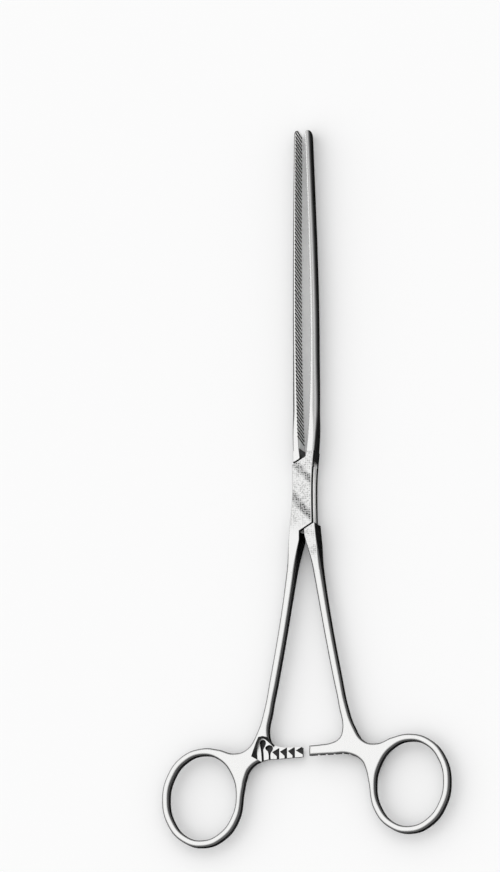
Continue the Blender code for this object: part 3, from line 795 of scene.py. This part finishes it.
def edge_line(x, offset=0.0):
    """Height of the plates' upper oblique edge at x, moved off the plates by offset."""
    return BOX_EDGE_Y + offset / math.cos(BOX_EDGE_ANGLE) + x * math.tan(BOX_EDGE_ANGLE)


def plate_side(y):
    """Half width of the cheek plates on the jaw's side, waisted at the pin."""
    if y > 0.0:
        seat = face_offset(JAW_SEAT_Y, RIGHT) + back_thickness(JAW_SEAT_Y, RIGHT)
        return BOX_WAIST + (seat - BOX_WAIST) * (y / JAW_SEAT_Y) ** 2
    return BOX_WAIST + (BOX_HALF_WIDTH - BOX_WAIST) * min(-y / BOX_EDGE_Y, 1.0) ** 2


def make_plates(name):
    """The box: both cheeks in one block, before its slot is cut."""
    root = FACE_OFFSET_ROOT[RIGHT]
    side = BOX_HALF_WIDTH
    low_edge = -edge_line(-side)
    foot = shank_centre(-BOX_FOOT_Y) + shank_width(-BOX_FOOT_Y) / 2.0
    shares = [step / PLATE_SIDE_STEPS for step in range(1, PLATE_SIDE_STEPS)]
    right_side = [lerp(JAW_SEAT_Y, low_edge, share) for share in shares]
    corners = [(-side, edge_line(-side), True), (root, edge_line(root), True)]
    corners.append((face_offset(JAW_SEAT_Y, RIGHT), JAW_SEAT_Y, True))
    corners.append((plate_side(JAW_SEAT_Y), JAW_SEAT_Y, True))
    corners += [(plate_side(y), y, False) for y in right_side]
    corners += [
        (plate_side(low_edge), low_edge, True),
        (-BOX_CROTCH_X, -edge_line(BOX_CROTCH_X), True),
        (-BOX_CROTCH_X, -BOX_FOOT_Y, True),
        (-foot, -BOX_FOOT_Y, True),
        (-side - BOX_BELLY, -BOX_EDGE_Y / 2.0, False),
        (-side, 0.0, False),
    ]
    plates = outline_solid(name, [corners], BOX_THICKNESS, BOX_EDGE_ROUND)
    # The plates' tops take the stippled matt finish, with its painted reflection bands
    return give_finish(plates, MATT, lambda normal: abs(normal.z) > FLAT_TOP)


def slot_limits():
    """Inner and far corner of the slot's upper closed end. The lower end is its half turn."""
    upper = (FACE_OFFSET_ROOT[RIGHT] + SLOT_END_INSET, SLOT_END_Y)
    far = BOX_HALF_WIDTH * SLOT_REACH
    upper_far = (far, upper[1] - (far - upper[0]) * math.tan(SLOT_END_ANGLE))
    return upper, upper_far


def make_slot():
    (x, y), (far_x, far_y) = slot_limits()
    corners = [(-far_x, y), (x, y), (far_x, far_y), (far_x, -y), (-x, -y), (-far_x, -far_y)]
    return plan_prism("slot", corners, TONGUE_THICKNESS + 2.0 * TONGUE_SIDE_GAP)


def make_tongue():
    """Flat middle of the other half, with one end under each of its shoulders."""
    (x, y), (far_x, far_y) = slot_limits()
    side = BOX_WAIST - TONGUE_INSET
    drop = (y - far_y) / (far_x - x)
    top_y = y - TONGUE_END_GAP
    side_y = top_y - (side - x + TONGUE_END_GAP) * drop
    hidden_x = x - TONGUE_END_GAP
    hidden_y = edge_line(hidden_x, -TONGUE_TRIM)
    trim_y = edge_line(-SHOULDER_INSIDE_X, -TONGUE_TRIM)
    upper = [
        (-side, top_y),
        (-SHOULDER_INSIDE_X, top_y),
        (-SHOULDER_INSIDE_X, trim_y),
        (hidden_x, min(hidden_y, top_y)),
        (side, side_y),
    ]
    lower = [(-corner_x, -corner_y) for corner_x, corner_y in upper]
    shape = prism_shape(upper + lower, TONGUE_THICKNESS)
    edges = [
        edge for edge in shape.edges
        if all(abs(abs(vert.co.x) - side) < FUSE_INSET for vert in edge.verts)
        and edge.verts[0].co.z == edge.verts[1].co.z
    ]
    bmesh.ops.bevel(
        shape, geom=edges, offset=TONGUE_ROUND, segments=TONGUE_ROUND_STEPS,
        profile=ROUND_PROFILE, affect="EDGES",
    )
    # The tongue is painted near white, as light, in the ground finish
    return give_finish(add_bmesh("tongue", shape), GROUND_PAINTED_LIGHT)


def make_shoulder():
    """Full-thickness root of the jaw on -X, sitting over the plates' upper oblique edge."""
    end_x, end_y = SHOULDER_END
    corners = [
        (-SHOULDER_SIDE_X, edge_line(-SHOULDER_SIDE_X, SHOULDER_GAP), True),
        (-SHOULDER_INSIDE_X, edge_line(-SHOULDER_INSIDE_X, SHOULDER_GAP), True),
        (-end_x, end_y, True),
        (-SHOULDER_SIDE_X, JAW_SEAT_Y, True),
    ]
    item = outline_solid("shoulder", [corners], BOX_THICKNESS, BOX_EDGE_ROUND)
    # The shoulder's end face is painted near black, as shade
    return give_finish(item, RECESS_SHADE, lambda normal: normal.x > SHOULDER_END_FACE)


def make_shoulder_cut():
    """Everything between the two oblique shoulder planes, across the whole box."""
    far = BOX_HALF_WIDTH * SHOULDER_CUT_REACH
    corners = [
        (-far, edge_line(-far, SHOULDER_GAP)),
        (far, edge_line(far, SHOULDER_GAP)),
        (far, -edge_line(-far, SHOULDER_GAP)),
        (-far, -edge_line(far, SHOULDER_GAP)),
    ]
    return plan_prism("shoulder_cut", corners, BOX_THICKNESS * CUTTER_HEIGHT)


def hull_of_levels(name, levels):
    """Convex solid through plan outlines, each given with its height."""
    shape = bmesh.new()
    points = [(x, y, z) for outline, z in levels for x, y in outline]
    bmesh.ops.convex_hull(shape, input=[shape.verts.new(point) for point in points])
    loose = [vert for vert in shape.verts if not vert.link_faces]
    bmesh.ops.delete(shape, geom=loose, context="VERTS")
    return add_bmesh(name, shape)


def make_relief_arch():
    """Recess round the bar's root: an arch on the half plane, a wider rim at the surface."""
    near_x = RELIEF_ARCH[-1][0]
    depth = HANDLE_THICKNESS / 2.0
    floor = [*RELIEF_ARCH, (near_x, RELIEF_LOW_Y)]
    rim = [*RELIEF_RIM, (near_x, RELIEF_LOW_Y)]
    levels = ((floor, BAR_PLANE_GAP), (rim, -depth), (rim, -HANDLE_THICKNESS))
    item = hull_of_levels("relief_arch", levels)
    # The recess walls are painted near black, as shade; its floor stays satin
    return give_finish(item, RECESS_SHADE, lambda normal: abs(normal.z) < RECESS_FLOOR)


def make_relief_open():
    """Takes the lower half off the rest of the bar, out past its end."""
    corners = [
        (-BAR_END_X, RELIEF_LOW_Y), (RELIEF_OPEN_X, RELIEF_LOW_Y),
        (RELIEF_OPEN_X, RELIEF_OPEN_Y), (-BAR_END_X, RELIEF_OPEN_Y),
    ]
    levels = ((corners, BAR_PLANE_GAP + RELIEF_OPEN_STEP), (corners, -HANDLE_THICKNESS))
    return hull_of_levels("relief_open", levels)


def make_notch(loop):
    """One of the two long notches with a round head."""
    thickness = 2.0 * (BAR_PLANE_GAP + NOTCH_DEPTH)
    # The notch is painted near black, as shade
    return give_finish(outline_solid("notch", [loop], thickness), RECESS_SHADE)


def tooth_corners(wall):
    """One notch in plan, from its steep wall. The one at the bar's end has no stem."""
    if wall == TOOTH_WALLS[-1]:
        return [(0.0, LAST_TOOTH_LOW_Y), (0.0, TOOTH_TOP_Y), TOOTH_APEX]
    stem_foot = (TOOTH_STEM[0], TOOTH_LOW_Y)
    return [(0.0, TOOTH_LOW_Y), (0.0, TOOTH_TOP_Y), TOOTH_APEX, TOOTH_STEM, stem_foot]


def make_teeth():
    """Saw notches under the bar on +X: a steep wall that faces the handle, a sloping floor."""
    shape = bmesh.new()
    mouth = BAR_PLANE_GAP - TOOTH_OVERCUT
    for wall in TOOTH_WALLS:
        corners = tooth_corners(wall)
        open_side = [shape.verts.new((wall + x, y, mouth)) for x, y in corners]
        floor = []
        for x, y in corners:
            depth = lerp(TOOTH_DEPTH_AT_WALL, TOOTH_DEPTH_AT_APEX, x / TOOTH_APEX[0])
            floor.append(shape.verts.new((wall + x, y, BAR_PLANE_GAP + depth)))
        shape.faces.new(open_side)
        shape.faces.new(floor)
        count = len(corners)
        for index in range(count):
            after = (index + 1) % count
            shape.faces.new((open_side[index], open_side[after], floor[after], floor[index]))
    # The tooth notches are painted near black, as shade
    return give_finish(add_bmesh("bar_teeth", shape), RECESS_SHADE)


def make_toothed_handle(name):
    """The handle on +X with its bar cut to half thickness and notched underneath."""
    handle = make_handle(name)
    combine(handle, make_relief_arch(), "DIFFERENCE")
    combine(handle, make_relief_open(), "DIFFERENCE")
    combine(handle, make_notch(HEAD_NOTCH), "DIFFERENCE")
    combine(handle, make_notch(SECOND_NOTCH), "DIFFERENCE")
    combine(handle, make_teeth(), "DIFFERENCE")
    return handle


def make_serrated_jaw(name, side, shift):
    """One jaw with its grooves, on its own side. The shift moves the grooves along it."""
    jaw = make_jaw(name, side)
    # The gripping face is painted near white, as light, in the ground finish
    give_finish(jaw, GROUND_PAINTED_LIGHT, lambda normal: normal.x < -GRIPPING_FACE)
    if side == LEFT:
        turn_over(jaw)
    combine(jaw, make_grooves(side, shift), "DIFFERENCE")
    return jaw


def make_box_half():
    """Plates, right jaw and left handle in one piece, then the slot and the pin's bore."""
    item = make_plates("box_half_fine")
    combine(item, make_serrated_jaw("box_jaw", RIGHT, 0.0), "UNION")
    combine(item, turn_over(make_shank_root("box_shank_root", BOX_CROTCH_X)), "UNION")
    combine(item, turn_over(make_toothed_handle("box_handle")), "UNION")
    combine(item, make_slot(), "DIFFERENCE")
    bore = cylinder("box_bore", PIN_RADIUS + PIN_HAIRLINE, BOX_THICKNESS * CUTTER_HEIGHT)
    combine(item, bore, "DIFFERENCE")
    return item


def make_tongue_half():
    """Left jaw, tongue and right handle in one piece, then the pin's bore."""
    item = make_serrated_jaw("tongue_half_fine", LEFT, GROOVE_PITCH / 2.0)
    root = make_shank_root("tongue_shank_root", SHANK_CROTCH_X)
    give_finish(root, MATT_SHANK, lambda normal: abs(normal.z) > FLAT_TOP)
    combine(item, make_shoulder(), "UNION")
    combine(item, root, "UNION")
    combine(item, make_shoulder_cut(), "DIFFERENCE")
    combine(item, make_tongue(), "UNION")
    combine(item, make_toothed_handle("tongue_handle"), "UNION")
    bore = cylinder("tongue_bore", PIN_RADIUS + PIN_RUNNING_GAP, BOX_THICKNESS * CUTTER_HEIGHT)
    combine(item, bore, "DIFFERENCE")
    return item


def make_pin():
    """Ground flush with the plates and matted with them."""
    return give_finish(cylinder("lock_pin_fine", PIN_RADIUS, BOX_THICKNESS), MATT)


def finish_piece(item):
    """Lifts a piece off the plane that it was drawn on, and shades it."""
    item.data.transform(MID_PLANE)
    item.data.shade_smooth()
    item.data.set_sharp_from_angle(angle=SHARP_ANGLE)
    item.modifiers.new("shading", "WEIGHTED_NORMAL").keep_sharp = True
    return item


def make_floor():
    bpy.ops.mesh.primitive_plane_add(size=FLOOR_SIZE)
    floor = bpy.context.object
    floor.name = "floor"
    material = bpy.data.materials.new("floor_paper")
    material.use_nodes = True
    shader = material.node_tree.nodes["Principled BSDF"]
    shader.inputs["Base Color"].default_value = (*FLOOR_COLOUR, 1.0)
    shader.inputs["Roughness"].default_value = 1.0
    shader.inputs["Specular IOR Level"].default_value = 0.0
    floor.data.materials.append(material)


def make_world():
    """Soft light from the upper left and overhead, dimmer low down and on the right."""
    world = bpy.data.worlds.new("studio")
    bpy.context.scene.world = world
    world.use_nodes = True
    nodes = Nodes(world.node_tree)
    background = world.node_tree.nodes["Background"]
    background.inputs["Color"].default_value = (1.0, 1.0, 1.0, 1.0)
    place = nodes.add("ShaderNodeTexCoord").outputs["Generated"]
    towards = nodes.add("ShaderNodeVectorMath", operation="DOT_PRODUCT")
    towards.inputs[1].default_value = LIGHT_FROM.normalized()
    nodes.join(place, towards.inputs[0])
    level = nodes.map_range(
        towards.outputs["Value"], LIGHT_SPREAD, (LIGHT_LOW, LIGHT_HIGH), smooth=True
    )
    nodes.join(level, background.inputs["Strength"])


def make_camera():
    """The photograph's frame, from far off with a long lens."""
    look = Vector((
        math.sin(VIEW_FROM_RIGHT) * math.cos(VIEW_FROM_BELOW),
        -math.sin(VIEW_FROM_BELOW),
        math.cos(VIEW_FROM_RIGHT) * math.cos(VIEW_FROM_BELOW),
    ))
    right = Vector((math.cos(VIEW_FROM_RIGHT), 0.0, -math.sin(VIEW_FROM_RIGHT)))
    up = look.cross(right)
    cam_right = right * math.cos(VIEW_ROLL) - up * math.sin(VIEW_ROLL)
    cam_up = right * math.sin(VIEW_ROLL) + up * math.cos(VIEW_ROLL)
    across = (PIN_PIXEL[0] - IMAGE_WIDTH / 2.0) * METRES_PER_PIXEL
    down = (PIN_PIXEL[1] - IMAGE_HEIGHT / 2.0) * METRES_PER_PIXEL
    pin = Vector((0.0, 0.0, BOX_THICKNESS / 2.0))
    place = pin + look * CAMERA_DISTANCE - cam_right * across + cam_up * down
    data = bpy.data.cameras.new("camera")
    data.sensor_fit = "VERTICAL"
    data.sensor_height = SENSOR_HEIGHT
    data.lens = SENSOR_HEIGHT * CAMERA_DISTANCE / (IMAGE_HEIGHT * METRES_PER_PIXEL)
    data.clip_end = CAMERA_REACH
    camera = bpy.data.objects.new("camera", data)
    bpy.context.scene.collection.objects.link(camera)
    turn = Matrix((cam_right, cam_up, look)).transposed().to_4x4()
    camera.matrix_world = Matrix.Translation(place) @ turn
    bpy.context.scene.camera = camera


def main():
    box_half = finish_piece(make_box_half())
    tongue_half = finish_piece(make_tongue_half())
    pin = finish_piece(make_pin())
    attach(box_half, "box_side")
    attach(tongue_half, "tongue_side")
    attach(pin, "box_side")
    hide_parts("box_half")
    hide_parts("tongue_half")
    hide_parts("lock_pin")
    make_floor()
    make_world()
    make_camera()
    bpy.context.scene.view_settings.view_transform = "Standard"
    bpy.context.scene.cycles.denoising_prefilter = "NONE"


main()
